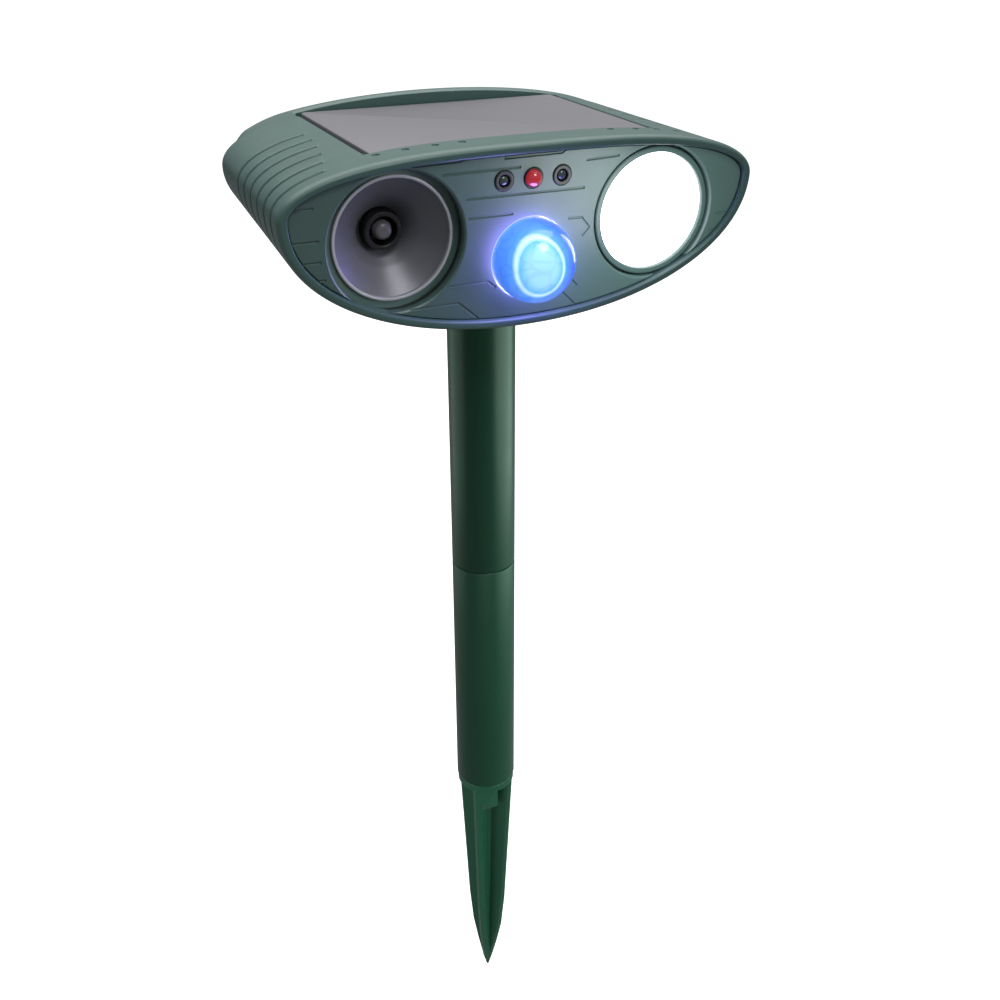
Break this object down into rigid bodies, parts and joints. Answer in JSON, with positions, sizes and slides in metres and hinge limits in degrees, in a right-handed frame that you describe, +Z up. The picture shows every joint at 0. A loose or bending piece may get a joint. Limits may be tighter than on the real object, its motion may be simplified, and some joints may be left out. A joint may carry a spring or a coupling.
{
  "type": "ultrasonic pest repeller",
  "caption": "Garden pest repeller: wide tapered head with horn speaker, motion sensor dome, strobe, indicator lamps and solar top, on a sectional ground stake.",
  "frame": {"origin": "on the stake's axis at the soil line, where the spike's shoulder meets the lower tube", "axes": "+Z up along the stake; the face with the speaker, sensor and strobe looks towards -Y; +X is the strobe's side"},
  "size_m": [0.151, 0.1034, 0.372],
  "materials": {
    "housing_green": "satin fine-grained",
    "face_green": "satin",
    "stake_green": "smooth moulded",
    "black_rubber": "matt",
    "black_plastic": "satin",
    "horn_grey": "glossy moulded",
    "plug_grey": "satin",
    "screw_steel": "zinc plated",
    "solar_glass": "laminated cells under clear epoxy",
    "reflector": "vacuum metallised",
    "clear_lens": "clear polycarbonate",
    "pir_lens": "frosted, lit from behind",
    "led_red": "tinted epoxy",
    "led_clear": "clear epoxy",
    "led_chip": "phosphor",
    "white_board": "white solder resist",
    "green_board": "green solder resist",
    "metal_bright": "plated",
    "pot_blue": "moulded",
    "shaft_brass": "turned",
    "cell_wrap": "shrink sleeve",
    "wire_skin": "insulated wire"
  },
  "bodies": {
    "spike": {"stake_spike": "stake_green"},
    "lower_stake": {"lower_tube": "stake_green"},
    "upper_stake": {"upper_tube": "stake_green"},
    "head": {"main_housing": "housing_green", "front_panel": "face_green", "face_seal": "black_rubber", "housing_screws": "screw_steel", "solar_panel": "solar_glass", "solar_seal": "black_rubber", "speaker_horn": "horn_grey", "speaker_plug": "plug_grey", "speaker_driver": "black_plastic", "cup_screws": "screw_steel", "strobe_reflector": "reflector", "strobe_lens": "clear_lens", "strobe_bezel": "face_green", "strobe_board": "white_board", "strobe_leds": "led_chip", "pir_lens": "pir_lens", "pir_retainer": "black_plastic", "pir_sensor": "metal_bright", "led_left": "led_clear", "led_centre": "led_red", "led_right": "led_clear", "led_bezels": "black_plastic", "front_board": "green_board", "main_board": "green_board", "board_parts": "black_plastic", "dial_board": "green_board", "frequency_switch": "black_plastic", "sensitivity_pot": "pot_blue", "dial_seals": "black_rubber", "usb_board": "green_board", "usb_socket": "metal_bright", "battery_cells": "cell_wrap", "battery_springs": "metal_bright", "solar_leads": "wire_skin", "speaker_leads": "wire_skin", "battery_leads": "wire_skin", "usb_cover_pin": "metal_bright"},
    "frequency_dial": {"frequency_knob": "black_plastic", "frequency_shaft": "shaft_brass"},
    "sensitivity_dial": {"sensitivity_knob": "black_plastic", "sensitivity_shaft": "shaft_brass"},
    "usb_flap": {"usb_cover": "black_rubber"},
    "door": {"battery_door": "housing_green", "battery_door_seal": "black_rubber", "battery_contacts": "metal_bright", "battery_door_screw": "screw_steel"}
  },
  "joints": [
    {"name": "lower_stake_pull", "type": "slide", "parent": "spike", "child": "lower_stake", "axis": [0, 0, 1], "range_m": [0, 0.026]},
    {"name": "upper_stake_pull", "type": "slide", "parent": "lower_stake", "child": "upper_stake", "axis": [0, 0, 1], "range_m": [0, 0.026]},
    {"name": "head_turn", "type": "hinge", "parent": "upper_stake", "child": "head", "pos_m": [0, 0, 0.215], "axis": [0, 0, 1], "continuous": true},
    {"name": "frequency_turn", "type": "hinge", "parent": "head", "child": "frequency_dial", "pos_m": [-0.043, 0.04559, 0.23495], "axis": [0, 0.9978, 0.0663], "range_deg": [0, 150]},
    {"name": "sensitivity_turn", "type": "hinge", "parent": "head", "child": "sensitivity_dial", "pos_m": [-0.017, 0.04559, 0.23495], "axis": [0, 0.9978, 0.0663], "range_deg": [-135, 135]},
    {"name": "usb_flap_swing", "type": "hinge", "parent": "head", "child": "usb_flap", "pos_m": [0.0035, 0.04428, 0.24098], "axis": [1, 0, 0], "range_deg": [0, 100]},
    {"name": "battery_door_pull", "type": "slide", "parent": "head", "child": "door", "axis": [0, 0.9978, 0.0663], "range_m": [0, 0.03]}
  ]
}
